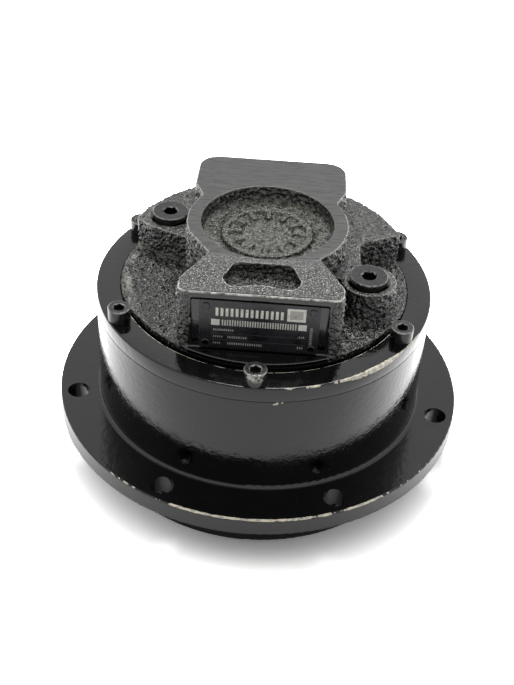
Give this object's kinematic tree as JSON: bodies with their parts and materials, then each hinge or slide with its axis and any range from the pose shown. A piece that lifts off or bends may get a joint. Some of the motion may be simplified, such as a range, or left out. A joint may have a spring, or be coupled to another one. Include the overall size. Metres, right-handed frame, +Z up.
{
  "type": "hydraulic drive motor",
  "caption": "Radial piston hydraulic drive motor with a round mounting flange, a cast rear cover with ports and drain plugs, and a turning wheel hub.",
  "frame": {"origin": "centre of the mounting flange's seat, its lower face, on the shaft axis", "axes": "+Z up the shaft axis to the rear cover, -Y to the nameplate, +Y to the ports"},
  "size_m": [0.25, 0.25, 0.1565],
  "materials": {
    "housing_paint": "gloss black paint on turned iron",
    "cover_paint": "worn black-grey paint on a rough sand casting",
    "screw_steel": "black paint over steel",
    "plug_steel": "satin dark paint over steel",
    "plate_black": "satin black plate with plain ruled fields",
    "hub_paint": "gloss black paint on turned steel",
    "ground_steel": "ground bearing steel",
    "machined_steel": "machined steel",
    "machined_iron": "machined iron",
    "spring_steel": "spring steel",
    "seal_rubber": "oil resistant rubber"
  },
  "bodies": {
    "motor_body": {"bearing_housing": "housing_paint", "rear_cover": "cover_paint", "cover_screws": "screw_steel", "cover_seal": "seal_rubber", "drain_plugs": "plug_steel", "plug_seals": "seal_rubber", "nameplate": "plate_black", "nameplate_pins": "screw_steel", "cam_ring": "machined_steel", "cam_pins": "machined_steel", "distributor": "machined_iron", "distributor_seals": "seal_rubber", "disc_spring": "spring_steel", "lock_pin": "machined_steel", "shaft_seal": "seal_rubber", "garter_spring": "spring_steel", "lower_bearing_cup": "ground_steel", "upper_bearing_cup": "ground_steel"},
    "output_shaft": {"output_hub": "hub_paint", "retaining_ring": "spring_steel", "cylinder_block": "machined_iron", "pistons": "machined_steel", "piston_rings": "machined_iron", "cam_rollers": "ground_steel", "lower_bearing_cone": "ground_steel", "upper_bearing_cone": "ground_steel"},
    "lower_cage": {"lower_bearing_cage": "spring_steel", "lower_bearing_rollers": "ground_steel"},
    "upper_cage": {"upper_bearing_cage": "spring_steel", "upper_bearing_rollers": "ground_steel"}
  },
  "joints": [
    {"name": "shaft_spin", "type": "hinge", "parent": "motor_body", "child": "output_shaft", "pos_m": [0, 0, 0], "axis": [0, 0, 1], "continuous": true},
    {"name": "lower_cage_spin", "type": "hinge", "parent": "motor_body", "child": "lower_cage", "pos_m": [0, 0, 0], "axis": [0, 0, 1], "continuous": true},
    {"name": "upper_cage_spin", "type": "hinge", "parent": "motor_body", "child": "upper_cage", "pos_m": [0, 0, 0], "axis": [0, 0, 1], "continuous": true}
  ],
  "couplings": [
    {"joint": "lower_cage_spin", "follows": "shaft_spin", "ratio": 0.45},
    {"joint": "upper_cage_spin", "follows": "shaft_spin", "ratio": 0.45}
  ]
}
